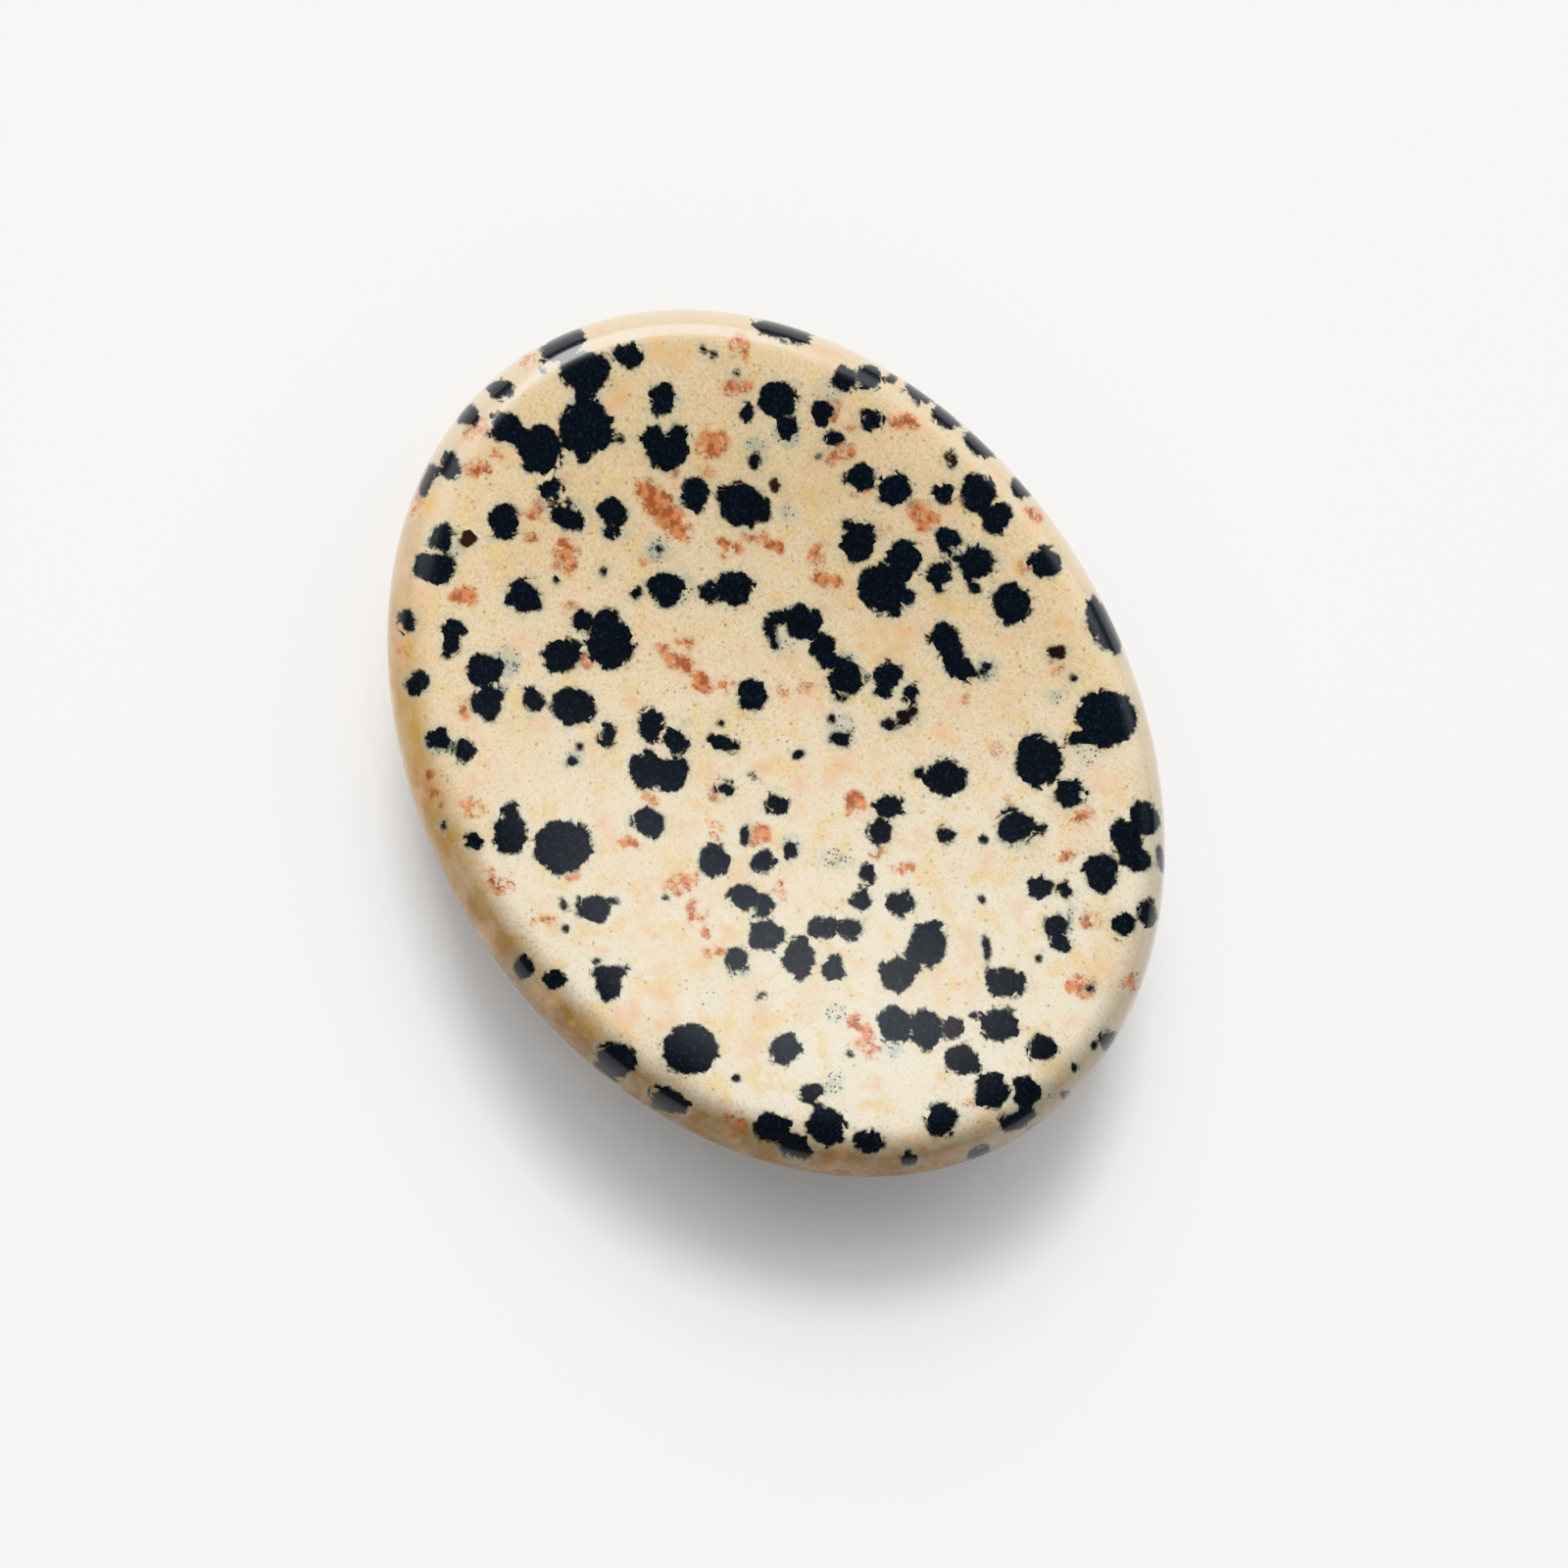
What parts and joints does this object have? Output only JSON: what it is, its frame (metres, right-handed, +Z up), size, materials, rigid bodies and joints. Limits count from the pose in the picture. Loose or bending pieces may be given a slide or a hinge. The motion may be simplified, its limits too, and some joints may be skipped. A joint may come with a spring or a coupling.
{
  "type": "palm stone",
  "caption": "Flat oval stone, polished smooth, with a shallow thumb dish in its face, a rounded rim and a softly domed back with a small flat spot.",
  "frame": {"origin": "middle of the small flat spot on the back, at the level of the surface the stone rests on", "axes": "+Z up, out of the thumb dish; +X along the long way of the oval; +Y along its short way"},
  "size_m": [0.045, 0.035, 0.0085],
  "materials": {
    "polished_jasper": "polished, cream with black and rust spots"
  },
  "bodies": {
    "root": {"stone": "polished_jasper"}
  },
  "joints": []
}
